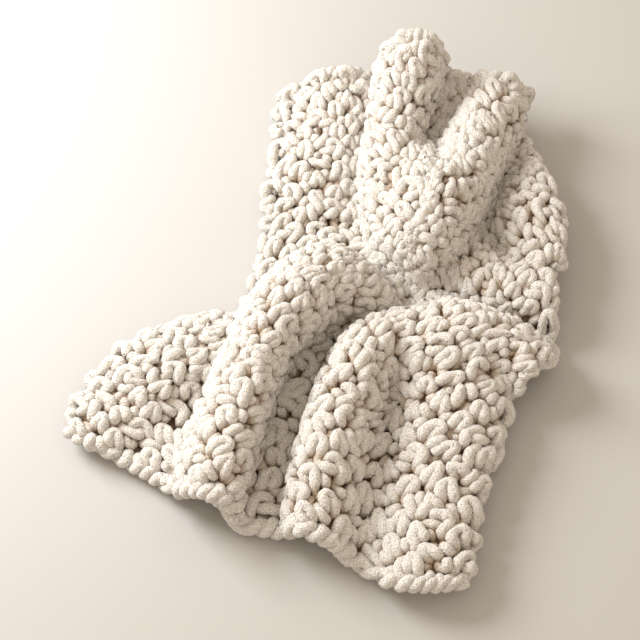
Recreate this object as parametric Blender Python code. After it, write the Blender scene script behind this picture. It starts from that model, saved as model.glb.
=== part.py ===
"""A chunky hand-knitted throw blanket that lies in loose folds on a level surface.

The blanket is one thick sheet of knitting. Its outline on the surface is four smooth edges, and the cloth
between them is lifted into rounded folds, one group of rows of the FOLDS table for each. Metres, +Z up,
the origin on the surface under the middle of the blanket, +Y towards the far edge, where the tall fold ends.
"""

import bpy
import numpy as np

# Cloth
THICKNESS = 0.040  # two passes of a 21 mm yarn
CELLS_ACROSS = 47  # faces of the solid from the left edge to the right
CELLS_ALONG = 57  # faces of the solid from the far edge to the near one
FINER = 2  # grid steps to a face while the cloth is spread
SPREAD_ROUNDS = 6  # passes that even out the spacing of the grid over the folds
EDGE_STEPS = 120  # straight steps in a smoothed edge
FOLD_STEPS = 28  # straight steps in a smoothed fold path
BLEND_POWER = 4.0  # how sharply the heights of two folds that meet keep apart
PULL_POWER = 1.5  # how sharply the sideways bulges of two folds that meet keep apart
LEAST_PULL = 1e-9  # keeps the shares defined where no fold lifts the cloth
SWELL = 0.9  # how far a fold's shoulders bulge out from its crest line
CREASE_SHARE = 0.7  # share of a crease's radius that the cloth may fill
THINNEST = 0.004  # half thickness left in the tightest crease
STIFFNESS_PASSES = 4  # rounds of averaging that keep thick cloth from turning sharply
EASING_PASSES = 2  # rounds of averaging that blend the thin creases into the full cloth
FACE_PASSES = 3  # rounds of averaging that round the two faces inside a crease
SETTLED_FROM = 0.010  # gap under the cloth below which it lies on the surface
SETTLED_TO = 0.020  # gap under the cloth from which it stands clear as folded
BALL_BATCH = 500  # points that look for their largest ball at a time
NEARLY_LEVEL = 1e-6  # height over the cloth under which a point counts as level with it
EDGE_ROUNDING = 0.008  # how far the middle of the edge stands out from its two corners
STITCH_RELIEF = 0.003  # height of the lumps on the upper face

# Edges of the laid-out blanket, as stations of a smooth line: x, y
FAR_EDGE = [(-0.096, 0.520), (-0.050, 0.536), (0.035, 0.550), (0.200, 0.528), (0.350, 0.498), (0.424, 0.479)]
NEAR_EDGE = [
    (-0.476, -0.276), (-0.376, -0.343), (-0.283, -0.403), (-0.218, -0.460), (-0.148, -0.490),
    (-0.060, -0.505), (-0.005, -0.525), (0.075, -0.568), (0.156, -0.615), (0.195, -0.622), (0.264, -0.592),
]
LEFT_EDGE = [
    (-0.096, 0.520), (-0.108, 0.380), (-0.122, 0.209), (-0.138, 0.092), (-0.160, 0.008), (-0.210, -0.035),
    (-0.300, -0.060), (-0.385, -0.092), (-0.445, -0.175), (-0.476, -0.276),
]
RIGHT_EDGE = [
    (0.424, 0.479), (0.448, 0.400), (0.465, 0.300), (0.478, 0.170), (0.482, 0.060), (0.480, -0.060),
    (0.460, -0.150), (0.398, -0.215), (0.350, -0.320), (0.320, -0.430), (0.294, -0.530), (0.264, -0.592),
]

# Folds, as stations along each crest: x, y, half width, height, lean in x, lean in y
FOLDS = {
    "collar_left": [
        (0.213, 0.630, 0.084, 0.225, 0.00, 0.00),
        (0.202, 0.510, 0.080, 0.208, 0.00, 0.00),
        (0.168, 0.400, 0.062, 0.145, 0.00, 0.00),
        (0.155, 0.310, 0.062, 0.125, 0.00, 0.00),
        (0.165, 0.240, 0.070, 0.115, 0.00, 0.00),
    ],
    "collar_right": [
        (0.385, 0.560, 0.085, 0.105, 0.00, 0.00),
        (0.358, 0.440, 0.080, 0.118, 0.00, 0.00),
        (0.312, 0.335, 0.072, 0.130, 0.01, 0.00),
        (0.262, 0.245, 0.075, 0.130, 0.02, 0.00),
        (0.225, 0.180, 0.080, 0.125, 0.01, 0.00),
    ],
    "collar_valley": [
        (0.300, 0.600, 0.085, 0.110, 0.00, 0.00),
        (0.284, 0.500, 0.080, 0.095, 0.00, 0.00),
        (0.262, 0.410, 0.070, 0.060, 0.00, 0.00),
        (0.246, 0.300, 0.060, 0.050, 0.00, 0.00),
    ],
    "collar_pad": [
        (0.208, 0.310, 0.060, 0.090, 0.00, 0.00),
        (0.204, 0.235, 0.100, 0.125, 0.01, 0.00),
        (0.206, 0.185, 0.106, 0.135, 0.01, -0.01),
        (0.208, 0.145, 0.097, 0.130, 0.01, -0.015),
    ],
    "left_roll": [
        (0.075, 0.016, 0.058, 0.090, 0.00, 0.00),
        (0.015, 0.025, 0.073, 0.125, 0.01, 0.00),
        (-0.040, -0.020, 0.076, 0.135, 0.01, 0.00),
        (-0.100, -0.090, 0.062, 0.132, 0.02, 0.00),
        (-0.143, -0.182, 0.056, 0.130, 0.03, 0.00),
        (-0.176, -0.290, 0.056, 0.122, 0.03, 0.00),
        (-0.200, -0.400, 0.060, 0.100, 0.02, 0.00),
        (-0.220, -0.520, 0.064, 0.065, 0.01, 0.00),
    ],
    "saddle": [
        (0.060, 0.010, 0.052, 0.084, 0.00, 0.00),
        (0.120, 0.002, 0.048, 0.060, 0.00, 0.00),
    ],
    "flap_roll": [
        (0.180, -0.085, 0.062, 0.080, 0.00, 0.00),
        (0.120, -0.115, 0.060, 0.100, -0.01, 0.00),
        (0.082, -0.190, 0.057, 0.110, -0.02, 0.00),
        (0.052, -0.300, 0.057, 0.105, -0.03, 0.00),
        (0.022, -0.420, 0.058, 0.085, -0.03, 0.00),
        (0.000, -0.580, 0.062, 0.055, -0.02, 0.00),
    ],
    "shoulder": [
        (0.190, -0.140, 0.065, 0.070, 0.00, 0.00),
        (0.235, -0.102, 0.068, 0.090, 0.00, 0.00),
        (0.308, -0.098, 0.070, 0.090, 0.00, 0.00),
        (0.375, -0.130, 0.070, 0.080, 0.00, 0.00),
        (0.440, -0.205, 0.070, 0.060, 0.00, 0.00),
    ],
    "flap_middle": [
        (0.270, -0.120, 0.120, 0.080, 0.00, 0.00),
        (0.260, -0.230, 0.120, 0.065, 0.00, 0.00),
        (0.230, -0.400, 0.100, 0.045, 0.00, 0.00),
        (0.190, -0.660, 0.095, 0.035, 0.00, 0.00),
    ],
    "panel_roll": [
        (0.275, 0.100, 0.062, 0.040, 0.00, 0.00),
        (0.335, 0.050, 0.065, 0.055, 0.00, 0.00),
        (0.400, 0.020, 0.065, 0.060, 0.00, 0.00),
        (0.520, -0.010, 0.070, 0.055, 0.00, 0.00),
    ],
    "right_side": [
        (0.440, 0.470, 0.060, 0.020, 0.00, 0.00),
        (0.465, 0.350, 0.070, 0.030, 0.00, 0.00),
        (0.440, 0.220, 0.078, 0.065, 0.00, 0.00),
        (0.435, 0.080, 0.078, 0.062, 0.00, 0.00),
    ],
    "left_flap": [
        (-0.200, -0.100, 0.080, 0.040, 0.00, 0.00),
        (-0.310, -0.150, 0.095, 0.045, 0.00, 0.00),
        (-0.400, -0.240, 0.085, 0.030, 0.00, 0.00),
    ],
    "top_left_bump": [
        (0.050, 0.600, 0.085, 0.072, 0.00, 0.00),
        (0.052, 0.440, 0.084, 0.035, 0.00, 0.00),
        (-0.010, 0.260, 0.090, 0.020, 0.00, 0.00),
    ],
}

YARN_COLOUR = (0.86, 0.82, 0.75, 1.0)
YARN_ROUGHNESS = 0.95


def smooth_line(stations, steps):
    """Points of a Catmull-Rom curve through the stations, every column of the table eased alike."""
    known = np.array(stations, float)
    first, last = 2 * known[0] - known[1], 2 * known[-1] - known[-2]
    known = np.vstack([first, known, last])
    at = np.linspace(0, len(stations) - 1, steps + 1)
    span = np.minimum(at.astype(int), len(stations) - 2)
    t = (at - span)[:, None]
    p0, p1, p2, p3 = (known[span + k] for k in range(4))
    return 0.5 * (
        2 * p1 + (p2 - p0) * t + (2 * p0 - 5 * p1 + 4 * p2 - p3) * t**2 + (3 * (p1 - p2) + p3 - p0) * t**3
    )


def length_along(points):
    """Distance travelled from the first point of a line to each of its points."""
    steps = np.linalg.norm(np.diff(points, axis=0), axis=1)
    return np.concatenate([[0.0], np.cumsum(steps)])


def edge_at(stations, share):
    """Places on an edge of the outline, by the share of its length."""
    line = smooth_line(stations, EDGE_STEPS)
    travelled = length_along(line)
    travelled /= travelled[-1]
    return np.stack([np.interp(share, travelled, line[:, k]) for k in range(2)], axis=-1)


def outline_patch(across, along):
    """Place on the surface inside the four edges: the two ruled patches less the corners' bilinear one."""
    top, bottom = edge_at(FAR_EDGE, across), edge_at(NEAR_EDGE, across)
    left, right = edge_at(LEFT_EDGE, along), edge_at(RIGHT_EDGE, along)
    a, b = across[..., None], along[..., None]
    corners = np.array([FAR_EDGE[0], FAR_EDGE[-1], NEAR_EDGE[0], NEAR_EDGE[-1]])
    far, near = (1 - a) * corners[0] + a * corners[1], (1 - a) * corners[2] + a * corners[3]
    return (1 - b) * (top - far) + b * (bottom - near) + (1 - a) * left + a * right


def nearest_on(line, place):
    """The nearest point of a fold's path to each place, with the fold's sizes there."""
    start, run = line[:-1], np.diff(line, axis=0)
    gap = place[..., None, :] - start[:, :2]
    t = np.clip((gap * run[:, :2]).sum(-1) / (run[:, :2] ** 2).sum(-1), 0, 1)
    apart = np.linalg.norm(gap - t[..., None] * run[:, :2], axis=-1)
    which = apart.argmin(axis=-1)[..., None]
    t = np.take_along_axis(t, which, -1)
    return start[which[..., 0]] + t * run[which[..., 0]], np.take_along_axis(apart, which, -1)[..., 0]


def folded(place):
    """The middle of the cloth over each place: lifted by the folds, its shoulders swollen and leaning."""
    lifts, moves = [], []
    for stations in FOLDS.values():
        found, gap = nearest_on(smooth_line(stations, FOLD_STEPS), place)
        width, height, lean = found[..., 2], found[..., 3], found[..., 4:6]
        rise = np.clip(1 - (gap / width) ** 2, 0, 1) ** 2
        lifts.append(height * rise)
        moves.append((SWELL * (place - found[..., :2]) + lean) * rise[..., None])
    lifts, moves = np.array(lifts), np.array(moves)
    height = (lifts**BLEND_POWER).sum(axis=0) ** (1 / BLEND_POWER)
    pull = lifts**PULL_POWER
    share = pull / np.maximum(pull.sum(axis=0), LEAST_PULL)
    moved = place + (share[..., None] * moves).sum(axis=0)
    return np.concatenate([moved, height[..., None] + THICKNESS / 2], axis=-1)


def respaced(points, values):
    """The values along each grid line, read again at places spaced evenly over the folds."""
    out = [np.empty_like(v) for v in values]
    share = np.linspace(0, 1, points.shape[1])
    for line in range(points.shape[0]):
        travelled = length_along(points[line])
        for v, o in zip(values, out):
            o[line] = np.interp(share * travelled[-1], travelled, v[line])
    return out


def eased(values, passes):
    """Grid values averaged with their four neighbours, as often as asked."""
    for _ in range(passes):
        wide = np.concatenate([values[:1], values, values[-1:]])
        values = (2 * values + wide[:-2] + wide[2:]) / 4
        wide = np.concatenate([values[:, :1], values, values[:, -1:]], axis=1)
        values = (2 * values + wide[:, :-2] + wide[:, 2:]) / 4
    return values


def least_near(values):
    """The least grid value at each place and its eight neighbours."""
    wide = np.pad(values, 1, mode="edge")
    rows, columns = values.shape
    return np.min([wide[i : i + rows, j : j + columns] for i in range(3) for j in range(3)], axis=0)


def spread_cloth():
    """Grid of points on the middle of the cloth, far edge first, evenly spaced over the folds."""
    across, along = np.meshgrid(
        np.linspace(0, 1, CELLS_ACROSS * FINER + 1), np.linspace(0, 1, CELLS_ALONG * FINER + 1)
    )
    for _ in range(SPREAD_ROUNDS):
        points = folded(outline_patch(across, along))
        across, along = respaced(points, (across, along))
        points = folded(outline_patch(across, along))
        across, along = (v.T for v in respaced(points.swapaxes(0, 1), (across.T, along.T)))
    return eased(folded(outline_patch(across, along)), STIFFNESS_PASSES)


def room_beside(points, normal):
    """Radius of the largest ball that rests on the cloth at each point and touches it nowhere else."""
    every, facing = points.reshape(-1, 3), normal.reshape(-1, 3)
    room = np.empty(len(every))
    squares = (every**2).sum(-1)
    for start in range(0, len(every), BALL_BATCH):
        here = slice(start, start + BALL_BATCH)
        apart = squares[here, None] + squares - 2 * every[here] @ every.T
        ahead = facing[here] @ every.T - (facing[here] * every[here]).sum(-1)[:, None]
        radius = apart / np.maximum(2 * ahead, NEARLY_LEVEL)
        room[here] = np.where(ahead > NEARLY_LEVEL, radius, np.inf).min(axis=1)
    return room.reshape(points.shape[:2])


def settled(height):
    """Heights of the underside once the cloth has sunk flat where it almost touches the surface."""
    sunk = np.interp(height, [SETTLED_FROM, SETTLED_TO], [0, SETTLED_TO])
    return np.where(height < SETTLED_TO, sunk, height)


def both_faces(points):
    """Upper and lower face of the cloth, and the way its lumps stand up, shorter in tight creases."""
    over_rows, over_columns = np.gradient(points, axis=(0, 1))
    normal = np.cross(over_rows, over_columns)
    normal /= np.linalg.norm(normal, axis=-1, keepdims=True)
    faces, fullness = [], []
    for side in (1, -1):
        room = CREASE_SHARE * room_beside(points, side * normal)
        depth = eased(least_near(np.clip(room, THINNEST, THICKNESS / 2)), EASING_PASSES)
        faces.append(eased(points + side * depth[..., None] * normal, FACE_PASSES))
        fullness.append(2 * depth / THICKNESS)
    faces[1][..., 2] = settled(faces[1][..., 2])
    return faces, fullness[0][..., None] ** 2 * normal


def solid_cloth():
    """Corners and faces of the closed blanket: triangles above, four-sided faces below and at the edge."""
    points = spread_cloth()
    (upper, lower), rise = both_faces(points)
    pick = (slice(None, None, FINER), slice(None, None, FINER))
    points, upper, lower, rise = points[pick], upper[pick], lower[pick], rise[pick]
    rows, columns = points.shape[:2]
    lump = (-1.0) ** np.add.outer(np.arange(rows), np.arange(columns))
    upper = upper + STITCH_RELIEF * lump[..., None] * rise
    count = rows * columns
    place = np.arange(count).reshape(rows, columns)
    ring = np.concatenate([place[0, :-1], place[:-1, -1], place[-1, :0:-1], place[:0:-1, 0]])
    middle = (upper.reshape(-1, 3)[ring] + lower.reshape(-1, 3)[ring]) / 2
    inner = points[1:-1, 1:-1]
    nearest_in = np.pad(inner, ((1, 1), (1, 1), (0, 0)), mode="edge").reshape(-1, 3)[ring]
    outward = middle - nearest_in
    outward /= np.linalg.norm(outward, axis=1, keepdims=True)
    middle = middle + EDGE_ROUNDING * outward
    middle[:, 2] = np.maximum(middle[:, 2], lower.reshape(-1, 3)[ring, 2])
    corners = np.concatenate([upper.reshape(-1, 3), lower.reshape(-1, 3), middle])
    quads = np.stack([place[:-1, :-1], place[1:, :-1], place[1:, 1:], place[:-1, 1:]], -1)
    raised_first = lump[:-1, :-1, None] > 0
    split = np.where(raised_first, np.roll(quads, -1, axis=-1), quads).reshape(-1, 4)
    quads = quads.reshape(-1, 4)
    after = np.roll(ring, -1)
    edge = 2 * count + np.arange(len(ring))
    edge_after = np.roll(edge, -1)
    upper_faces = np.concatenate([split[:, [0, 1, 2]], split[:, [0, 2, 3]]])
    other_faces = np.concatenate([
        quads[:, ::-1] + count,
        np.stack([ring, after, edge_after, edge], -1),
        np.stack([edge, edge_after, after + count, ring + count], -1),
    ])
    centre = (corners[:, :2].min(axis=0) + corners[:, :2].max(axis=0)) / 2
    corners[:, :2] -= centre
    return corners, upper_faces.tolist() + other_faces.tolist()


def yarn_material():
    """Matt off-white yarn."""
    material = bpy.data.materials.new("off_white_yarn")
    material.use_nodes = True
    shader = material.node_tree.nodes["Principled BSDF"]
    shader.inputs["Base Color"].default_value = YARN_COLOUR
    shader.inputs["Roughness"].default_value = YARN_ROUGHNESS
    shader.inputs["Metallic"].default_value = 0.0
    return material


def main():
    for obj in list(bpy.data.objects):
        bpy.data.objects.remove(obj)
    corners, faces = solid_cloth()
    mesh = bpy.data.meshes.new("blanket")
    mesh.from_pydata(corners.tolist(), [], faces)
    mesh.materials.append(yarn_material())
    mesh.validate()
    blanket = bpy.data.objects.new("blanket", mesh)
    collection = bpy.data.collections.new("blanket")
    bpy.context.scene.collection.children.link(collection)
    collection.objects.link(blanket)


main()
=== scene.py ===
# %% [markdown]
# # A chunky knitted throw
#
# A throw is one panel of knitting. This one is worked in a yarn about 2 cm thick, so every stitch shows as a
# soft hoop, and the panel is as thick as two passes of the yarn. It lies in loose folds.
# The lesson first loads the plain solid of the blanket, which gives the place and the outer size.

# %% The plain solid
import math

import bpy
import numpy as np
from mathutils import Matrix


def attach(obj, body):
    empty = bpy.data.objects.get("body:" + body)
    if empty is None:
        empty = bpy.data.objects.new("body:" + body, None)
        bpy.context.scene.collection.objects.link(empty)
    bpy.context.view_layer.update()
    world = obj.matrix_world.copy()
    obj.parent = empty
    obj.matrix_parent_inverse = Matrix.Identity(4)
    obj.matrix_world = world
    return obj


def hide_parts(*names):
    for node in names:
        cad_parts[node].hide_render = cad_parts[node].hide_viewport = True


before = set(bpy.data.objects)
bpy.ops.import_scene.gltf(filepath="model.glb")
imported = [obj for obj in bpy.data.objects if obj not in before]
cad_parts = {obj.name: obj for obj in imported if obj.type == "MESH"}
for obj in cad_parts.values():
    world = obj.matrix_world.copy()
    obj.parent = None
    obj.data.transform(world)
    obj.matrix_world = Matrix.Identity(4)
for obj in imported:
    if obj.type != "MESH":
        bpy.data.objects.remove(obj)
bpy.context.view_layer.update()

# %% [markdown]
# ## How the cloth lies
#
# Real folds could come from a cloth simulation, but those land somewhere new each time a setting changes.
# Here the outline and the folds are set one by one, so each can be moved alone. The outline comes first:
# four smooth edges, each a short table of places (x, y) on the floor in metres.

# %% Edges of the blanket on the floor
FAR_EDGE = [
    (-0.096, 0.520), (-0.050, 0.536), (0.035, 0.550), (0.200, 0.528), (0.350, 0.498), (0.424, 0.479),
]
NEAR_EDGE = [
    (-0.476, -0.276), (-0.376, -0.343), (-0.283, -0.403), (-0.218, -0.460), (-0.148, -0.490),
    (-0.060, -0.505), (-0.005, -0.525), (0.075, -0.568), (0.156, -0.615), (0.195, -0.622), (0.264, -0.592),
]
LEFT_EDGE = [
    (-0.096, 0.520), (-0.108, 0.380), (-0.122, 0.209), (-0.138, 0.092), (-0.160, 0.008), (-0.210, -0.035),
    (-0.300, -0.060), (-0.385, -0.092), (-0.445, -0.175), (-0.476, -0.276),
]
RIGHT_EDGE = [
    (0.424, 0.479), (0.448, 0.400), (0.465, 0.300), (0.478, 0.170), (0.482, 0.060), (0.480, -0.060),
    (0.460, -0.150), (0.398, -0.215), (0.350, -0.320), (0.320, -0.430), (0.294, -0.530), (0.264, -0.592),
]
print("outline through", sum(len(e) for e in (FAR_EDGE, NEAR_EDGE, LEFT_EDGE, RIGHT_EDGE)), "places")

# %% [markdown]
# ## The folds
#
# Thick cloth falls into a few plump rolls with valleys between them. Each roll is a table of stations along
# its crest, and each station says how wide and how high the roll is there and how far it leans over. These
# are the tables that the solid was made from, so the knitting lies in the same folds.

# %% Folds, as stations along each crest
# x, y, half width, height, lean in x, lean in y, all in metres
FOLDS = {
    "collar_left": [
        (0.213, 0.630, 0.084, 0.225, 0.00, 0.00),
        (0.202, 0.510, 0.080, 0.208, 0.00, 0.00),
        (0.168, 0.400, 0.062, 0.145, 0.00, 0.00),
        (0.155, 0.310, 0.062, 0.125, 0.00, 0.00),
        (0.165, 0.240, 0.070, 0.115, 0.00, 0.00),
    ],
    "collar_right": [
        (0.385, 0.560, 0.085, 0.105, 0.00, 0.00),
        (0.358, 0.440, 0.080, 0.118, 0.00, 0.00),
        (0.312, 0.335, 0.072, 0.130, 0.01, 0.00),
        (0.262, 0.245, 0.075, 0.130, 0.02, 0.00),
        (0.225, 0.180, 0.080, 0.125, 0.01, 0.00),
    ],
    "collar_valley": [
        (0.300, 0.600, 0.085, 0.110, 0.00, 0.00),
        (0.284, 0.500, 0.080, 0.095, 0.00, 0.00),
        (0.262, 0.410, 0.070, 0.060, 0.00, 0.00),
        (0.246, 0.300, 0.060, 0.050, 0.00, 0.00),
    ],
    "collar_pad": [
        (0.208, 0.310, 0.060, 0.090, 0.00, 0.00),
        (0.204, 0.235, 0.100, 0.125, 0.01, 0.00),
        (0.206, 0.185, 0.106, 0.135, 0.01, -0.01),
        (0.208, 0.145, 0.097, 0.130, 0.01, -0.015),
    ],
    "left_roll": [
        (0.075, 0.016, 0.058, 0.090, 0.00, 0.00),
        (0.015, 0.025, 0.073, 0.125, 0.01, 0.00),
        (-0.040, -0.020, 0.076, 0.135, 0.01, 0.00),
        (-0.100, -0.090, 0.062, 0.132, 0.02, 0.00),
        (-0.143, -0.182, 0.056, 0.130, 0.03, 0.00),
        (-0.176, -0.290, 0.056, 0.122, 0.03, 0.00),
        (-0.200, -0.400, 0.060, 0.100, 0.02, 0.00),
        (-0.220, -0.520, 0.064, 0.065, 0.01, 0.00),
    ],
    "saddle": [
        (0.060, 0.010, 0.052, 0.084, 0.00, 0.00),
        (0.120, 0.002, 0.048, 0.060, 0.00, 0.00),
    ],
    "flap_roll": [
        (0.180, -0.085, 0.062, 0.080, 0.00, 0.00),
        (0.120, -0.115, 0.060, 0.100, -0.01, 0.00),
        (0.082, -0.190, 0.057, 0.110, -0.02, 0.00),
        (0.052, -0.300, 0.057, 0.105, -0.03, 0.00),
        (0.022, -0.420, 0.058, 0.085, -0.03, 0.00),
        (0.000, -0.580, 0.062, 0.055, -0.02, 0.00),
    ],
    "shoulder": [
        (0.190, -0.140, 0.065, 0.070, 0.00, 0.00),
        (0.235, -0.102, 0.068, 0.090, 0.00, 0.00),
        (0.308, -0.098, 0.070, 0.090, 0.00, 0.00),
        (0.375, -0.130, 0.070, 0.080, 0.00, 0.00),
        (0.440, -0.205, 0.070, 0.060, 0.00, 0.00),
    ],
    "flap_middle": [
        (0.270, -0.120, 0.120, 0.080, 0.00, 0.00),
        (0.260, -0.230, 0.120, 0.065, 0.00, 0.00),
        (0.230, -0.400, 0.100, 0.045, 0.00, 0.00),
        (0.190, -0.660, 0.095, 0.035, 0.00, 0.00),
    ],
    "panel_roll": [
        (0.275, 0.100, 0.062, 0.040, 0.00, 0.00),
        (0.335, 0.050, 0.065, 0.055, 0.00, 0.00),
        (0.400, 0.020, 0.065, 0.060, 0.00, 0.00),
        (0.520, -0.010, 0.070, 0.055, 0.00, 0.00),
    ],
    "right_side": [
        (0.440, 0.470, 0.060, 0.020, 0.00, 0.00),
        (0.465, 0.350, 0.070, 0.030, 0.00, 0.00),
        (0.440, 0.220, 0.078, 0.065, 0.00, 0.00),
        (0.435, 0.080, 0.078, 0.062, 0.00, 0.00),
    ],
    "left_flap": [
        (-0.200, -0.100, 0.080, 0.040, 0.00, 0.00),
        (-0.310, -0.150, 0.095, 0.045, 0.00, 0.00),
        (-0.400, -0.240, 0.085, 0.030, 0.00, 0.00),
    ],
    "top_left_bump": [
        (0.050, 0.600, 0.085, 0.072, 0.00, 0.00),
        (0.052, 0.440, 0.084, 0.035, 0.00, 0.00),
        (-0.010, 0.260, 0.090, 0.020, 0.00, 0.00),
    ],
}
print(len(FOLDS), "folds, the highest", max(s[3] for stations in FOLDS.values() for s in stations), "m")

# %% [markdown]
# ## From tables to smooth lines
#
# A Catmull-Rom curve passes through every station, so the cloth is just where a table says.
# All columns are eased alike, which gives each fold a width and a height that change gently along it.

# %% Smooth lines through stations
EDGE_STEPS = 120  # straight steps in a smoothed edge
FOLD_STEPS = 28  # straight steps in a smoothed fold path


def smooth_line(stations, steps):
    """Points of a Catmull-Rom curve through the stations, every column of the table eased alike."""
    known = np.array(stations, float)
    first, last = 2 * known[0] - known[1], 2 * known[-1] - known[-2]
    known = np.vstack([first, known, last])
    at = np.linspace(0, len(stations) - 1, steps + 1)
    span = np.minimum(at.astype(int), len(stations) - 2)
    t = (at - span)[:, None]
    p0, p1, p2, p3 = (known[span + k] for k in range(4))
    return 0.5 * (
        2 * p1 + (p2 - p0) * t + (2 * p0 - 5 * p1 + 4 * p2 - p3) * t**2 + (3 * (p1 - p2) + p3 - p0) * t**3
    )


def length_along(points):
    """Distance travelled from the first point of a line to each of its points."""
    steps = np.linalg.norm(np.diff(points, axis=0), axis=1)
    return np.concatenate([[0.0], np.cumsum(steps)])


def edge_at(stations, share):
    """Places on an edge of the outline, by the share of its length."""
    line = smooth_line(stations, EDGE_STEPS)
    travelled = length_along(line)
    travelled /= travelled[-1]
    return np.stack([np.interp(share, travelled, line[:, k]) for k in range(2)], axis=-1)


print("far edge", round(length_along(smooth_line(FAR_EDGE, EDGE_STEPS))[-1], 3), "m")

# %% [markdown]
# ## The outline filled in
#
# A Coons patch fills four edges with a grid: it adds the surface ruled between the far and near edges to
# the one ruled between the sides, and takes away the flat one through the corners, counted twice.

# %% The flat patch inside the edges
def outline_patch(across, along):
    """Place on the surface inside the four edges: the two ruled patches less the corners' bilinear one."""
    top, bottom = edge_at(FAR_EDGE, across), edge_at(NEAR_EDGE, across)
    left, right = edge_at(LEFT_EDGE, along), edge_at(RIGHT_EDGE, along)
    a, b = across[..., None], along[..., None]
    corners = np.array([FAR_EDGE[0], FAR_EDGE[-1], NEAR_EDGE[0], NEAR_EDGE[-1]])
    far, near = (1 - a) * corners[0] + a * corners[1], (1 - a) * corners[2] + a * corners[3]
    return (1 - b) * (top - far) + b * (bottom - near) + (1 - a) * left + a * right


patch_middle = outline_patch(np.array([0.5]), np.array([0.5]))
print("middle of the patch", patch_middle[0].round(3))

# %% [markdown]
# ## Lifting the folds
#
# Over each place on the floor the nearest point of every crest line is found. The lift falls off with the
# distance from it as (1 - q squared) squared, and the same share pushes the shoulders outwards, so that a
# fold gets the round, pinched-in shape of soft cloth instead of a hill. Where folds meet, the higher wins.

# %% The folded middle of the cloth
THICKNESS = 0.040  # two passes of the yarn, a little pressed together
BLEND_POWER = 4.0  # how sharply the heights of two folds that meet keep apart
PULL_POWER = 1.5  # how sharply the sideways bulges of two folds that meet keep apart
LEAST_PULL = 1e-9  # keeps the shares defined where no fold lifts the cloth
SWELL = 0.9  # how far a fold's shoulders bulge out from its crest line


def nearest_on(line, place):
    """The nearest point of a fold's path to each place, with the fold's sizes there."""
    start, run = line[:-1], np.diff(line, axis=0)
    gap = place[..., None, :] - start[:, :2]
    t = np.clip((gap * run[:, :2]).sum(-1) / (run[:, :2] ** 2).sum(-1), 0, 1)
    apart = np.linalg.norm(gap - t[..., None] * run[:, :2], axis=-1)
    which = apart.argmin(axis=-1)[..., None]
    t = np.take_along_axis(t, which, -1)
    return start[which[..., 0]] + t * run[which[..., 0]], np.take_along_axis(apart, which, -1)[..., 0]


def folded(place):
    """The middle of the cloth over each place: lifted by the folds, its shoulders swollen and leaning."""
    lifts, moves = [], []
    for stations in FOLDS.values():
        found, gap = nearest_on(smooth_line(stations, FOLD_STEPS), place)
        width, height, lean = found[..., 2], found[..., 3], found[..., 4:6]
        rise = np.clip(1 - (gap / width) ** 2, 0, 1) ** 2
        lifts.append(height * rise)
        moves.append((SWELL * (place - found[..., :2]) + lean) * rise[..., None])
    lifts, moves = np.array(lifts), np.array(moves)
    height = (lifts**BLEND_POWER).sum(axis=0) ** (1 / BLEND_POWER)
    pull = lifts**PULL_POWER
    share = pull / np.maximum(pull.sum(axis=0), LEAST_PULL)
    moved = place + (share[..., None] * moves).sum(axis=0)
    return np.concatenate([moved, height[..., None] + THICKNESS / 2], axis=-1)


print("height over the middle of the patch", folded(patch_middle)[0, 2].round(3), "m")

# %% [markdown]
# ## Spreading the cloth over its folds
#
# A grid that is even on the floor would be stretched where a fold rises. Cloth doesn't stretch that much, so
# the grid lines are spaced again by the distance travelled over the folds, first one way and then the other,
# a few times over. A little averaging then keeps the thick cloth from turning sharply.

# %% Even spacing over the folds
CELLS_ACROSS = 47  # grid cells of the solid across the cloth
CELLS_ALONG = 57  # and along it
FINER = 2  # steps to a cell
SPREAD_ROUNDS = 6
STIFFNESS_PASSES = 4  # rounds of averaging at the end


def respaced(points, values):
    """The values along each grid line, read again at places spaced evenly over the folds."""
    out = [np.empty_like(v) for v in values]
    share = np.linspace(0, 1, points.shape[1])
    for line in range(points.shape[0]):
        travelled = length_along(points[line])
        for v, o in zip(values, out):
            o[line] = np.interp(share * travelled[-1], travelled, v[line])
    return out


def eased(values, passes):
    """Grid values averaged with their four neighbours, as often as asked."""
    for _ in range(passes):
        wide = np.concatenate([values[:1], values, values[-1:]])
        values = (2 * values + wide[:-2] + wide[2:]) / 4
        wide = np.concatenate([values[:, :1], values, values[:, -1:]], axis=1)
        values = (2 * values + wide[:, :-2] + wide[:, 2:]) / 4
    return values


def spread_cloth():
    """Grid of points on the middle of the cloth, far edge first, evenly spaced over the folds."""
    across, along = np.meshgrid(
        np.linspace(0, 1, CELLS_ACROSS * FINER + 1), np.linspace(0, 1, CELLS_ALONG * FINER + 1)
    )
    for _ in range(SPREAD_ROUNDS):
        points = folded(outline_patch(across, along))
        across, along = respaced(points, (across, along))
        points = folded(outline_patch(across, along))
        across, along = (v.T for v in respaced(points.swapaxes(0, 1), (across.T, along.T)))
    return eased(folded(outline_patch(across, along)), STIFFNESS_PASSES)


cloth = spread_cloth()
rows = np.array([length_along(line)[-1] for line in cloth])
columns = np.array([length_along(line)[-1] for line in cloth.swapaxes(0, 1)])
print("cloth laid flat", rows.mean().round(3), "by", columns.mean().round(3), "m")

# %% [markdown]
# ## Room in the creases
#
# Thick cloth has an upper and a lower face, each half the thickness off its middle. Inside a crease there
# isn't room for that, and the faces would cross. The largest ball that rests on each point without touching
# the cloth elsewhere tells how much room there is.

# %% Largest ball beside each point
BALL_BATCH = 500  # points that look for their largest ball at a time
NEARLY_NOTHING = 1e-6  # keeps divisions defined


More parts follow.
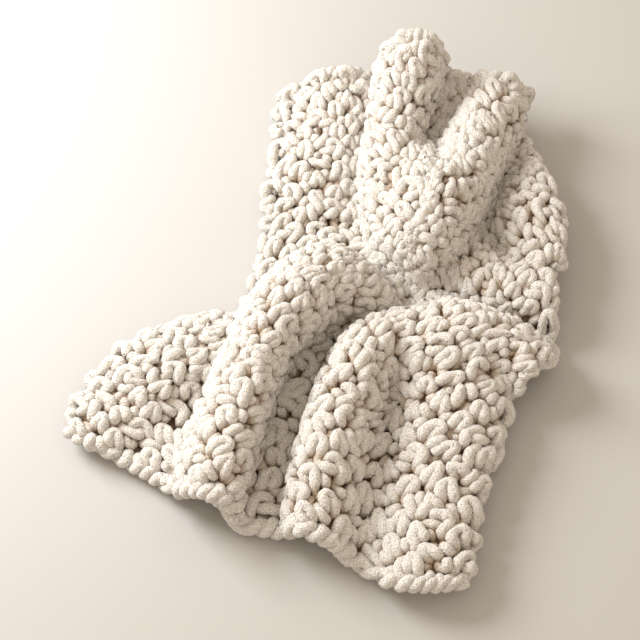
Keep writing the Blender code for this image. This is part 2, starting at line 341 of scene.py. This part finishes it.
def room_beside(points, normal):
    """Radius of the largest ball that rests on the cloth at each point and touches it nowhere else."""
    every, facing = points.reshape(-1, 3), normal.reshape(-1, 3)
    room = np.empty(len(every))
    squares = (every**2).sum(-1)
    for start in range(0, len(every), BALL_BATCH):
        here = slice(start, start + BALL_BATCH)
        apart = squares[here, None] + squares - 2 * every[here] @ every.T
        ahead = facing[here] @ every.T - (facing[here] * every[here]).sum(-1)[:, None]
        radius = apart / np.maximum(2 * ahead, NEARLY_NOTHING)
        room[here] = np.where(ahead > NEARLY_NOTHING, radius, np.inf).min(axis=1)
    return room.reshape(points.shape[:2])

# %% [markdown]
# ## Upper and lower face
#
# Each face lies half the thickness off the middle, or less in a tight crease: there it is a share of the
# ball's radius. The underside sinks flat where it almost touches the floor, as soft, heavy cloth does.

# %% Upper and lower face
CREASE_SHARE = 0.7  # share of a crease's radius that the cloth may fill
THINNEST = 0.004  # half thickness left in the tightest crease
EASING_PASSES = 2  # rounds of averaging of the thickness
FACE_PASSES = 3  # and of each face
SETTLED_FROM = 0.010  # gap under the cloth below which it lies on the floor
SETTLED_TO = 0.020  # gap from which it stays as it is


def least_near(values):
    """The least grid value at each place and its eight neighbours."""
    wide = np.pad(values, 1, mode="edge")
    rows, columns = values.shape
    return np.min([wide[i : i + rows, j : j + columns] for i in range(3) for j in range(3)], axis=0)


def settled(height):
    """Heights of the underside once the cloth has sunk flat where it almost touches the surface."""
    sunk = np.interp(height, [SETTLED_FROM, SETTLED_TO], [0, SETTLED_TO])
    return np.where(height < SETTLED_TO, sunk, height)


def both_faces(points):
    """Upper and lower face of the cloth: middle +- depth * normal, the depth smaller in tight creases."""
    over_rows, over_columns = np.gradient(points, axis=(0, 1))
    normal = np.cross(over_rows, over_columns)
    normal /= np.linalg.norm(normal, axis=-1, keepdims=True)
    faces = []
    for side in (1, -1):
        room = CREASE_SHARE * room_beside(points, side * normal)
        depth = eased(least_near(np.clip(room, THINNEST, THICKNESS / 2)), EASING_PASSES)
        faces.append(eased(points + side * depth[..., None] * normal, FACE_PASSES))
    faces[1][..., 2] = settled(faces[1][..., 2])
    return faces


upper, lower = both_faces(cloth)
print("cloth rises to", upper[..., 2].max().round(3), "m")

# %% [markdown]
# ## Grids to bend by
#
# Over a fold the upper face is longer than the middle of the cloth, and it is the face that shows. So all
# grid lines are spaced evenly again along it. Each cell is also halved with a smooth curve, or the stitches
# would show the corners of the grid.

# %% Finer grids of the middle and the faces
def finer(values, axes=(0, 1)):
    """Twice the grid steps along the axes; each new point is (-1, 9, 9, -1) / 16 of the four around it."""
    for axis in axes:
        values = np.moveaxis(values, axis, 0)
        wide = np.concatenate([2 * values[:1] - values[1:2], values, 2 * values[-1:] - values[-2:-1]])
        out = np.empty((2 * len(values) - 1, *values.shape[1:]))
        out[::2], out[1::2] = values, (9 * (wide[1:-2] + wide[2:-1]) - wide[:-3] - wide[3:]) / 16
        values = np.moveaxis(out, 0, axis)
    return values


def spread_by_top(layers):
    """Middle, upper and lower grids, their lines spaced again by the distance along the upper face."""
    for _ in range(SPREAD_ROUNDS):
        parts = [layer[..., k] for layer in layers for k in range(3)]
        parts = np.array(respaced(layers[1], parts)).swapaxes(1, 2)
        top = np.moveaxis(parts[3:6], 0, -1)
        parts = np.array(respaced(top, parts)).swapaxes(1, 2)
        layers = [np.moveaxis(parts[k : k + 3], 0, -1) for k in (0, 3, 6)]
    return layers


both = np.concatenate([upper, lower]).reshape(-1, 3)
middle_of_box = (both.min(axis=0) + both.max(axis=0)) / 2 * [1, 1, 0]
layers = [finer(face - middle_of_box) for face in spread_by_top([cloth, upper, lower])]
print("middle of the box", middle_of_box.round(4), "grid", layers[0].shape)

# %% [markdown]
# ## From flat knitting to folded knitting
#
# The stitches are easiest to draw on a flat panel: x across it, y up from the near edge, z out of its
# middle. One function then bends any flat point into the folded cloth. Halfway out it lies halfway between
# the middle and a face. Only the path of the yarn is bent like that, and its thickness is added afterwards,
# because the creases would crush a ready-made strand to a string.

# %% A flat point's place in the folds
FLAT_WIDTH = 0.94
FLAT_LENGTH = 1.23
HALF = THICKNESS / 2


def bent(flat):
    """Place in the folded cloth of flat points (x, y, z): middle + z / half thickness * (face - middle)."""
    last_row, last_column = np.array(layers[0].shape[:2]) - 1
    column = flat[..., 0] / FLAT_WIDTH * last_column
    row = (1 - flat[..., 1] / FLAT_LENGTH) * last_row
    j = np.clip(column.astype(int), 0, last_column - 1)
    i = np.clip(row.astype(int), 0, last_row - 1)
    b, a = (row - i)[..., None], (column - j)[..., None]
    middle, over, under = (
        (1 - b) * ((1 - a) * g[i, j] + a * g[i, j + 1])
        + b * ((1 - a) * g[i + 1, j] + a * g[i + 1, j + 1])
        for g in layers
    )
    out = flat[..., 2:] / HALF
    place = middle + np.maximum(out, 0) * (over - middle) + np.clip(-out, 0, 1) * (under - middle)
    place[..., 2] = np.maximum(place[..., 2], 0)
    return place


print("near left corner of the panel lies at", bent(np.zeros((1, 3)))[0].round(3))

# %% [markdown]
# ## The inside of the knitting
#
# Between the stitches more yarn shows, deep inside and in shade. A thin sheet just under the middle of the
# panel closes those gaps: it stands for that yarn and is coloured as the yarn darkened, painted shade. It
# stops short of the edges, where real knitting does show holes.

# %% Thin sheet in the middle
CORE_TOP, CORE_UNDER = -0.006, -0.009  # heights of its two faces in the flat panel
CORE_INSET = 0.026  # from the edges of the panel
CORE_COLUMNS, CORE_ROWS = 64, 84  # points of its grid


def new_mesh(name, points, faces, inside=()):
    """A smooth mesh object, placed by its points, each with how deep inside the knitting it lies, which sets
    its painted shade.
    """
    mesh = bpy.data.meshes.new(name)
    mesh.from_pydata(points.tolist(), [], faces)
    if len(inside):
        mesh.attributes.new("painted_shade_depth", "FLOAT", "POINT").data.foreach_set("value", inside)
    mesh.shade_smooth()
    piece = bpy.data.objects.new(name, mesh)
    bpy.context.scene.collection.objects.link(piece)
    return piece


def thin_sheet(columns, rows):
    """Points and faces of a closed sheet: an upper grid, a lower grid, and a rim that joins them."""
    x, y = np.meshgrid(
        np.linspace(CORE_INSET, FLAT_WIDTH - CORE_INSET, columns),
        np.linspace(CORE_INSET, FLAT_LENGTH - CORE_INSET, rows),
    )
    grids = [np.stack([x, y, np.full_like(x, z)], -1) for z in (CORE_TOP, CORE_UNDER)]
    points = np.concatenate(grids).reshape(-1, 3)
    at = np.arange(rows * columns).reshape(rows, columns)
    top = np.stack([at[:-1, :-1], at[:-1, 1:], at[1:, 1:], at[1:, :-1]], -1).reshape(-1, 4)
    rim = np.concatenate([at[0, :-1], at[:-1, -1], at[-1, :0:-1], at[:0:-1, 0]])
    after = np.roll(rim, -1)
    side = np.stack([rim, rim + at.size, after + at.size, after], -1)
    return points, np.concatenate([top, top[:, ::-1] + at.size, side]).tolist()


points, faces = thin_sheet(CORE_COLUMNS, CORE_ROWS)
core = new_mesh("knitting_core", bent(points), faces)
print("core has", len(core.data.polygons), "faces")

# %% [markdown]
# ## The path of the yarn
#
# The knit is moss stitch: stitches pulled to the front take turns with stitches pulled to the back, like the
# squares of a chess board. One stitch is a hoop: a cosine up and down, its feet drawn in by a sine of twice
# the angle. Its head stands on one face and its feet on the other, so that it hooks through the hoop below.

# %% Rows of hoops
STITCHES = 25  # across the panel
ROWS = 43  # up the panel
SIDE_MARGIN = 0.027
END_MARGIN = 0.040  # from an end of the panel to the middle of its first or last row
FIRST_ROW, LAST_ROW = END_MARGIN, FLAT_LENGTH - END_MARGIN
STITCH = (FLAT_WIDTH - 2 * SIDE_MARGIN) / STITCHES
HOOP_RISE = 0.0195  # half the height of a hoop
HOOP_PINCH = 0.17 * STITCH  # how far the feet are drawn in
PINCH_UNEVEN = 0.2  # share by which that differs between stitches
HOOP_DEPTH = 0.020  # how far head and feet stand off the middle, before they are pressed together
HOOP_STEPS = 16
TWIST = 5.0  # how quickly the yarn changes face between two stitches
LEAN, GROWTH = 0.007, 0.005  # how far heads lean sideways and reach up, unevenly
SEED = 7

chance = np.random.default_rng(SEED)


def hoops(row):
    """A row of hoops, each once round the angle t: x = place + pinch sin 2t, y = row - rise cos t and
    z = -side depth cos t tanh(twist sin t/2), where side is 1 and -1 by turns, along a row and up the panel.
    """
    t = np.arange(STITCHES * HOOP_STEPS + 1) / HOOP_STEPS
    stitch = np.minimum(t.astype(int), STITCHES - 1)
    angle = 2 * math.pi * (t - stitch)
    lift = (1 - np.cos(angle)) / 2
    lean, growth, pinch = chance.normal(0, 1, (3, STITCHES))[:, stitch]
    feet = HOOP_PINCH * (1 + PINCH_UNEVEN * pinch)
    x = SIDE_MARGIN + t * STITCH + feet * np.sin(2 * angle) + LEAN * lean * lift
    middle = FIRST_ROW + row * (LAST_ROW - FIRST_ROW) / (ROWS - 1)
    y = middle - HOOP_RISE * np.cos(angle) + GROWTH * growth * lift
    z = -((-1.0) ** (row + stitch)) * HOOP_DEPTH * np.cos(angle) * np.tanh(TWIST * np.sin(angle / 2))
    return np.stack([x, y, z], -1)


rows = np.array([hoops(row) for row in range(ROWS)])
steps = np.linalg.norm(np.diff(rows, axis=1), axis=-1)
yarn_each = round(1000 * steps.sum() / ROWS / STITCHES)
print("stitch", round(1000 * STITCH, 1), "mm wide, of", yarn_each, "mm of yarn")

# %% [markdown]
# ## The yarn finds its place
#
# Drawn like that, thick strands run through each other. In real knitting they push each other aside until
# every strand has room, and so they do here. Each point looks only at the few strands that it may touch,
# because a search among all points would take far longer.

# %% Strands push each other aside
TOUCHING = 0.0180  # strands nearer than this push: a bit under the yarn's thickness, because it is soft
PUSH, LONGEST_PUSH = 0.16, 0.003  # share of the overlap, and the furthest in metres, that one pass may push
NEIGHBOURS = (
    [(0, k) for k in range(5, 22)] + [(1, k) for k in range(-18, 19)] + [(2, k) for k in range(-13, 14)]
)  # (rows up, yarn steps along) from a point to those that it may touch


def pushes(rows):
    """How far each point is pushed off its neighbours: in proportion to how much too near they are."""
    total = np.zeros_like(rows)
    count = rows.shape[1]
    for up, along in NEIGHBOURS:
        here = (slice(0, ROWS - up), slice(max(0, -along), count - max(0, along)))
        there = (slice(up, ROWS), slice(max(0, along), count - max(0, -along)))
        gap = rows[there] - rows[here]
        apart = np.maximum(np.linalg.norm(gap, axis=-1, keepdims=True), NEARLY_NOTHING)
        push = PUSH * np.maximum(TOUCHING - apart, 0) / apart * gap
        total[here] -= push
        total[there] += push
    size = np.maximum(np.linalg.norm(total, axis=-1, keepdims=True), NEARLY_NOTHING)
    return total * np.minimum(1, LONGEST_PUSH / size)


print("furthest push at first", round(1000 * np.abs(pushes(rows)).max(), 1), "mm")

# %% [markdown]
# ## Pulling, easing and pressing
#
# The strands are pushed in many small passes. After each push every stitch gets back its length of yarn,
# bends are eased, and the whole panel is pressed down to its thickness. That gives the short plump beads
# that chunky knitting shows, all a little different.

# %% The rows after all passes
PASSES = 120
PULL = 0.25  # share of a wrong length that is put right at a time
PULLS = 3  # times that is done in a pass
EASE = 0.03  # how stiff the yarn is against bending
HOLD = 0.1  # how firmly a stitch's ends keep their place in the row
PRESSED_FROM, PRESSED_TO = 0.026, 0.0150  # how far a strand may stand off the middle, first and last
PRESSED_BY = 0.6  # share of the passes by which the pressing is done
UNEVEN_YARN = 0.09  # share by which the yarn in a stitch differs
EDGE_ROOM = 0.013  # nearest that a strand may come to the edge of the panel


def kept_in_length(rows, rest):
    """Each step of yarn pulled part of the way to its own length, from both its ends."""
    step = np.diff(rows, axis=1)
    length = np.linalg.norm(step, axis=-1, keepdims=True)
    fix = PULL * (length - rest) / length * step
    rows = rows.copy()
    rows[:, :-1] += fix
    rows[:, 1:] -= fix
    return rows


def settled_rows(rows):
    """The rows after all passes, pressed between the faces and kept inside the edges of the panel."""
    rest = steps.mean() * (1 + UNEVEN_YARN * chance.normal(0, 1, (ROWS, STITCHES)))
    rest = np.repeat(rest, HOOP_STEPS, axis=1)[..., None]
    home = rows[:, ::HOOP_STEPS, :2].copy()
    high_corner = [FLAT_WIDTH - EDGE_ROOM, FLAT_LENGTH - EDGE_ROOM]
    for done in range(PASSES):
        rows = rows + pushes(rows)
        for _ in range(PULLS):
            rows = kept_in_length(rows, rest)
        near, far = rows[:, 1:-3] + rows[:, 3:-1], rows[:, :-4] + rows[:, 4:]
        rows[:, 2:-2] += EASE * (4 * near - far - 6 * rows[:, 2:-2])
        rows[:, ::HOOP_STEPS, :2] += HOLD * (home - rows[:, ::HOOP_STEPS, :2])
        limit = PRESSED_TO + (PRESSED_FROM - PRESSED_TO) * max(0, 1 - done / (PRESSED_BY * PASSES))
        rows = np.clip(rows, [EDGE_ROOM, EDGE_ROOM, -limit], high_corner + [limit])
    return rows


found = settled_rows(rows)
print("points moved by", round(1000 * np.linalg.norm(found - rows, axis=-1).mean(), 1), "mm on average")

# %% [markdown]
# ## One long strand
#
# The yarn runs to and fro, row on row, and turns at each side in a soft loop. The strand wanders slowly by a
# few millimetres too, because a big soft panel never lies quite square.

# %% Rows joined by turns
TURN_BULGE = 0.013  # how far a turn reaches past the side
TURN_STEPS = 7
WANDER_WAVES = 6  # waves that add up to the wander
WANDER_LENGTH = 0.23  # from crest to crest of a wave
WANDER = 0.003  # size of the wander


def turn(start, end):
    """Half an ellipse that bulges past the side and carries the yarn up to the next row."""
    angle = np.linspace(-math.pi / 2, math.pi / 2, TURN_STEPS + 2)[1:-1]
    path = start + (1 + np.sin(angle))[:, None] / 2 * (end - start)
    path[:, 0] += math.copysign(TURN_BULGE, start[0] - FLAT_WIDTH / 2) * np.cos(angle)
    return path


def wander(places):
    """Slow smooth wander of flat places: a sum of sine waves that cross at random angles."""
    total = np.zeros_like(places)
    for angle, phase_x, phase_y in chance.uniform(0, 2 * math.pi, (WANDER_WAVES, 3)):
        travelled = places[:, 0] * math.cos(angle) + places[:, 1] * math.sin(angle)
        along = 2 * math.pi / WANDER_LENGTH * travelled
        total += np.stack([np.sin(along + phase_x), np.sin(along + phase_y)], -1)
    return WANDER * total / math.sqrt(WANDER_WAVES)


def one_strand(rows):
    """The rows end to end, every second one backwards, with a turn between."""
    rows = [row if n % 2 == 0 else row[::-1] for n, row in enumerate(rows)]
    path = [rows[0]]
    for row in rows[1:]:
        path += [turn(path[-1][-1], row[0]), row]
    path = np.concatenate(path)
    path[:, :2] += wander(path[:, :2])
    return finer(path, axes=(0,))


strand = one_strand(found)
print("strand of", round(length_along(strand)[-1]), "m,", len(strand), "points")

# %% [markdown]
# ## How thick the yarn is
#
# Soft yarn is thinner where another strand squeezes it, halfway between the faces, and where it bends
# sharply. Plump between, it breaks into short beads. In a crease it has less room, and on a ridge more.

# %% Thickness along the yarn
YARN_RADIUS = 0.0109
PINCHED_INSIDE = 0.10  # share of the radius lost halfway between the faces
PINCHED_IN_BEND = 0.16  # share lost in the sharpest bends
SHARP_BEND = 90.0  # radians a metre: pinching starts at half of this and is full at one and a half of it
BEND_STEPS = 7  # steps over which a bend is averaged
STEP_OFF = 0.003  # how far off the yarn the folds are felt
LEAST_ROOM, MOST_ROOM = 0.80, 1.12  # bounds of the share of its width that the yarn fills


def beads(path):
    """Share of the full radius along a flat path, less in the middle of the panel and in a sharp bend."""
    step = np.gradient(path, axis=0)
    length = np.linalg.norm(step, axis=1)
    bend = np.linalg.norm(np.gradient(step / length[:, None], axis=0), axis=1) / length
    bend = np.convolve(bend, np.ones(BEND_STEPS) / BEND_STEPS, mode="same")
    inside = 1 - np.minimum(np.abs(path[:, 2]) / PRESSED_TO, 1)
    return 1 - PINCHED_INSIDE * inside - PINCHED_IN_BEND * np.clip(bend / SHARP_BEND - 0.5, 0, 1)


def room_left(flat):
    """Share of its width that the yarn has room for: how far apart the folds bring two points beside it."""
    side = np.cross(np.gradient(flat, axis=0), [0, 0, 1])
    side *= STEP_OFF / np.maximum(np.linalg.norm(side, axis=1, keepdims=True), NEARLY_NOTHING)
    apart = np.linalg.norm(bent(flat + side) - bent(flat - side), axis=1)
    return np.clip(apart / (2 * STEP_OFF), LEAST_ROOM, MOST_ROOM)


shares = beads(strand) * room_left(strand)
thinnest, thickest = 2000 * YARN_RADIUS * shares.min(), 2000 * YARN_RADIUS * shares.max()
print("yarn from", round(thinnest), "to", round(thickest), "mm thick")

# %% [markdown]
# ## Directions round the yarn
#
# The yarn is built from rings that stand square to its path in the folds, so each ring needs a sideways and
# an upward direction. Set by the cloth's upright, rings would spin where the yarn runs straight through the
# cloth. So one sideways direction is carried along the strand instead.

# %% Directions at each point of a path
def carried_along(side, ahead):
    """A sideways direction carried along a path: at each point, the last one less its part ahead."""
    sides = np.empty_like(ahead)
    for k, way in enumerate(ahead):
        side = side - side @ way * way
        sides[k] = side = side / math.sqrt(side @ side)
    return sides


def directions(flat, path):
    """Sideways and upwards round a bent path, and out of the cloth, at each of its points."""
    out = bent(flat + [0, 0, STEP_OFF]) - bent(flat - [0, 0, STEP_OFF])
    out /= np.maximum(np.linalg.norm(out, axis=1, keepdims=True), NEARLY_NOTHING)
    ahead = np.gradient(path, axis=0)
    ahead /= np.linalg.norm(ahead, axis=1, keepdims=True)
    side = carried_along(np.cross(ahead[0], out[0]), ahead)
    return side, np.cross(side, ahead), out


print("first direction out of the cloth", directions(strand, bent(strand))[2][0].round(2))

# %% [markdown]
# ## A tube along the strand
#
# Chenille is round and a little lumpy. Each point of a ring also notes how deep inside the knitting it lies,
# because the colour is painted darker and warmer there: painted shade between the strands.

# %% Yarn as a tube
EDGE_SHADE = 0.025  # at the edges of the panel light reaches the inside, up to twice this far
RING = 12  # points round the yarn
BUMPS = ((230, 1, 0.0), (410, 2, 1.0), (150, 0, 2.0), (620, 3, 0.5))  # radians a metre, waves round, phase
BUMP_SHARE = 0.025  # size of one such bump as a share of the radius
PILE_SHARE = 0.055  # and of the pile's roughness


def painted_shade_depth(flat, height):
    """Share of painted shade: 0 on both faces and round the edges of the panel, 1 in the middle of its
    thickness.
    """
    out = np.abs(flat[:, 2:] + height) / (PRESSED_TO + YARN_RADIUS)
    x, y = flat[:, 0], flat[:, 1]
    from_edge = np.min([x, FLAT_WIDTH - x, y, FLAT_LENGTH - y], axis=0)[:, None]
    return np.clip(1 - out, 0, 1) * np.clip(from_edge / EDGE_SHADE - 1, 0, 1)


def tube(flat):
    """Rings r (cos a side + sin a up) round a bent path, joined by four-sided faces and closed by caps."""
    path = bent(flat)
    side, up, out = directions(flat, path)
    angle = 2 * math.pi * np.arange(RING) / RING
    travelled = length_along(path)[:, None]
    bumps = sum(np.sin(f * travelled + k * angle + phase) for f, k, phase in BUMPS)
    pile = chance.normal(0, PILE_SHARE, (len(path), RING))
    radius = YARN_RADIUS * (beads(flat) * room_left(flat))[:, None] * (1 + BUMP_SHARE * bumps + pile)
    ring = np.cos(angle)[:, None] * side[:, None] + np.sin(angle)[:, None] * up[:, None]
    ring *= radius[..., None]
    points = path[:, None] + ring
    points[..., 2] = np.maximum(points[..., 2], 0)
    at = np.arange(len(path) * RING).reshape(len(path), RING)
    after = np.roll(at, -1, axis=1)
    walls = np.stack([at[:-1], after[:-1], after[1:], at[1:]], -1).reshape(-1, 4).tolist()
    faces = walls + [at[0, ::-1].tolist(), at[-1].tolist()]
    return points.reshape(-1, 3), faces, painted_shade_depth(flat, (ring * out[:, None]).sum(-1)).ravel()


print("tube of", RING * len(strand), "points")

# %% [markdown]
# ## The knitted rows
#
# The strand is one yarn from the first stitch to the last. It is cut into bands of a few rows only to keep
# each mesh small, and each band ends in the ring with which the next one starts, so no gap shows.

# %% Knitted rows, in bands
BAND = 6  # rows to a piece
per_row = 2 * (STITCHES * HOOP_STEPS + 1 + TURN_STEPS)
yarn_pieces = []
for first in range(0, ROWS, BAND):
    yarn = tube(strand[first * per_row : (first + BAND) * per_row + 1])
    yarn_pieces.append(new_mesh(f"rows_from_{first + 1}", *yarn))
print(len(yarn_pieces), "bands of rows,", sum(len(p.data.polygons) for p in yarn_pieces), "faces")

# %% [markdown]
# ## Cast-on and cast-off edges
#
# Casting on and casting off leave a chain of links along the near and the far edge. Two strands that wind
# round each other, a little unevenly, look the same and need no knots.

# %% Cords along the two ends
CORD_INSET = 0.014  # from the sides of the panel
CORD_LINE = 0.017  # from its end to the middle of the two strands
CORD_SWAY = 0.007  # how far a strand winds to and fro, flat on the panel
CORD_DEPTH = 0.0085  # and how far up and down
CORD_UNEVEN = 0.17  # length after which the winding quickens and slows again
CORD_LINK = 0.052  # length of one turn of a strand round the other
CORD_STEPS = 28  # points to a link


def winding(height, phase):
    """A strand that winds along an edge: y = height + sway sin a, z = depth cos a, a not quite steady."""
    x = np.arange(CORD_INSET, FLAT_WIDTH - CORD_INSET, CORD_LINK / CORD_STEPS)
    a = 2 * math.pi * x / CORD_LINK + phase + np.sin(2 * math.pi * x / CORD_UNEVEN)
    return np.stack([x, height + CORD_SWAY * np.sin(a), CORD_DEPTH * np.cos(a)], -1)


for name, height in (("cast_on_cord", CORD_LINE), ("cast_off_cord", FLAT_LENGTH - CORD_LINE)):
    for strand_name, phase in (("a", 0.0), ("b", math.pi)):
        yarn_pieces.append(new_mesh(f"{name}_{strand_name}", *tube(winding(height, phase))))
print("strands along the ends,", round(length_along(winding(CORD_LINE, 0.0))[-1], 2), "m of yarn each")

# %% [markdown]
# ## Colours and shader nodes
#
# Colours are written as on a paint card, in sRGB hex, and a shader wants them linear, so one function turns
# them. Another makes a shader node in one line.

# %% Helpers for materials
def linear(code):
    """Linear red, green, blue and alpha of an sRGB hex colour."""
    parts = [int(code[i : i + 2], 16) / 255 for i in (1, 3, 5)]
    return [c / 12.92 if c <= 0.04045 else ((c + 0.055) / 1.055) ** 2.4 for c in parts] + [1.0]


def add(tree, kind, links=(), **settings):
    """A shader node with its settings, fed by the given (input, output socket) pairs."""
    node = tree.nodes.new(kind)
    for name, value in settings.items():
        if hasattr(node, name):
            setattr(node, name, value)
        else:
            node.inputs[name.replace("_", " ")].default_value = value
    for name, source in links:
        tree.links.new(source, node.inputs[name])
    return node


def new_material(name, roughness):
    """A material with its node tree and its surface node, of the given roughness."""
    material = bpy.data.materials.new(name)
    material.use_nodes = True
    surface = material.node_tree.nodes["Principled BSDF"]
    surface.inputs["Roughness"].default_value = roughness
    return material, material.node_tree, surface


print("pure white is", linear("#FFFFFF"))

# %% [markdown]
# ## Chenille yarn
#
# Chenille has a short dense pile. It has no shine, but its fibres catch light at the rim, which is what the
# sheen layer does. The tips of the pile are light and the gaps between them darker, so one noise drives both
# the grain of the colour and the bump. Deep between the strands the colour is painted darker and warmer:
# painted shade in the crevices of the knitting.

# %% Off-white chenille
MATT = 1.0
SPECULAR = 0.2
SHEEN, SHEEN_SPREAD = 0.35, 0.5
GRAINS = 300.0  # noise cells a metre, so a tuft of pile is about 3 mm wide
GRAIN_DETAIL, GRAIN_ROUGHNESS = 2.0, 0.65
GAPS, TIPS = 0.34, 0.52  # noise values of the gaps in the pile and of its tips
# painted shade: over these depths inside the knitting the colour turns darker and warmer
PAINTED_SHADE_FROM, PAINTED_SHADE_TO = 0.25, 0.85  # depths inside over which the colour turns
PILE_HEIGHT = 0.010  # of the bump


def chenille(name, light, deep, painted_shade_colour):
    """Matt pile: colour = mix(deep, mix(light, painted shade colour, depth inside), noise), with the noise
    as bump too.
    """
    material, tree, surface = new_material(name, MATT)
    surface.inputs["Specular IOR Level"].default_value = SPECULAR
    surface.inputs["Sheen Weight"].default_value = SHEEN
    surface.inputs["Sheen Roughness"].default_value = SHEEN_SPREAD
    place = add(tree, "ShaderNodeTexCoord").outputs["Object"]
    grain = add(
        tree, "ShaderNodeTexNoise", [("Vector", place)],
        Scale=GRAINS, Detail=GRAIN_DETAIL, Roughness=GRAIN_ROUGHNESS,
    ).outputs["Fac"]
    shade = add(tree, "ShaderNodeMapRange", [("Value", grain)], From_Min=GAPS, From_Max=TIPS)
    # painted shade: deep inside the knitting the colour is mixed towards a darker, warmer one
    depth = add(tree, "ShaderNodeAttribute", attribute_name="painted_shade_depth").outputs["Fac"]
    inside = add(tree, "ShaderNodeMapRange", [("Value", depth)], From_Min=PAINTED_SHADE_FROM, From_Max=PAINTED_SHADE_TO)
    tone = add(tree, "ShaderNodeMix", [("Factor", inside.outputs[0])], data_type="RGBA")
    tone.inputs["A"].default_value = linear(light)
    tone.inputs["B"].default_value = linear(painted_shade_colour)
    fed = [("Factor", shade.outputs[0]), ("B", tone.outputs["Result"])]
    colour = add(tree, "ShaderNodeMix", fed, data_type="RGBA")
    colour.inputs["A"].default_value = linear(deep)
    bump = add(tree, "ShaderNodeBump", [("Height", grain)], Strength=1.0, Distance=PILE_HEIGHT)
    tree.links.new(colour.outputs["Result"], surface.inputs["Base Color"])
    tree.links.new(bump.outputs["Normal"], surface.inputs["Normal"])
    return material


# the third colour is painted shade, deep between the strands
off_white = chenille("off_white_chenille", "#FDF9F3", "#E4D6C0", "#C09A70")
# painted shade: the yarn's colours darkened, for the thin sheet inside the knitting
shaded = chenille("chenille_painted_shade", "#C2A486", "#A2835F", "#A2835F")
core.data.materials.append(shaded)
for piece in yarn_pieces:
    piece.data.materials.append(off_white)
print("materials", off_white.name, "and", shaded.name)

# %% [markdown]
# ## Knitting in place of the plain solid
#
# The blanket is one body that doesn't move, so every piece rides on its root, and together they take the
# place of the plain solid.

# %% How the pieces belong to the solid
for piece in [core, *yarn_pieces]:
    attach(piece, "root")
    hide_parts("blanket")
print("declared", 1 + len(yarn_pieces), "pieces")

# %% [markdown]
# ## Floor
#
# A plain pale floor shows the blanket's outline and catches its shadow. It is so large that no edge shows.

# %% Floor
FLOOR_SIZE = 30.0
FLOOR_ROUGHNESS = 0.9
bpy.ops.mesh.primitive_plane_add(size=FLOOR_SIZE, location=(0, 0, 0))
floor = bpy.context.object
floor.name = "floor"
pale, _, surface = new_material("pale_floor", FLOOR_ROUGHNESS)
surface.inputs["Base Color"].default_value = linear("#B7B4B0")
floor.data.materials.append(pale)
print("floor", FLOOR_SIZE, "m square")

# %% [markdown]
# ## Light
#
# White knitting shows its relief by shadows alone. A broad soft lamp from the upper left draws them, and an
# even, slightly warm sky fills them, so that the yarn stays light in the creases.

# %% Light
SKY_STRENGTH = 0.88
LAMP_WIDTH = 1.5
LAMP_POWER = 108.0  # in watts
LAMP_PLACE = (-1.85, 0.95, 1.5)
sky = bpy.data.worlds.new("even_sky")
sky.use_nodes = True
sky.node_tree.nodes["Background"].inputs["Color"].default_value = linear("#FFF0DE")
sky.node_tree.nodes["Background"].inputs["Strength"].default_value = SKY_STRENGTH
bpy.context.scene.world = sky
lamp = bpy.data.lights.new("side_lamp", "AREA")
lamp.shape, lamp.size, lamp.energy = "DISK", LAMP_WIDTH, LAMP_POWER
lamp.color = linear("#FBFDFF")[:3]
side_lamp = bpy.data.objects.new("side_lamp", lamp)
side_lamp.location = LAMP_PLACE
side_lamp.rotation_euler = side_lamp.location.to_track_quat("Z", "Y").to_euler()  # shines at the origin
bpy.context.scene.collection.objects.link(side_lamp)
print("lamp", round(side_lamp.location.length, 2), "m from the middle of the blanket")

# %% [markdown]
# ## Camera
#
# The view looks down at the blanket at 60 degrees. A camera 4 m away with a long lens keeps the near and the
# far stitches at almost the same size.

# %% Camera
ELEVATION = math.radians(60)
DISTANCE = 4.0
FRAME_WIDTH = 1.248  # width of the view at the blanket
LOOK_AT = np.array([-0.005, 0.016, 0.0])
SENSOR = 36  # millimetres

camera = bpy.data.objects.new("camera", bpy.data.cameras.new("camera"))
camera.location = LOOK_AT + DISTANCE * np.array([0, -math.cos(ELEVATION), math.sin(ELEVATION)])
camera.rotation_euler = (math.pi / 2 - ELEVATION, 0, 0)
camera.data.sensor_width = SENSOR
camera.data.lens = SENSOR * DISTANCE / FRAME_WIDTH
bpy.context.scene.collection.objects.link(camera)
bpy.context.scene.camera = camera
bpy.context.scene.view_settings.view_transform = "Standard"
print("lens of", round(camera.data.lens, 1), "mm")
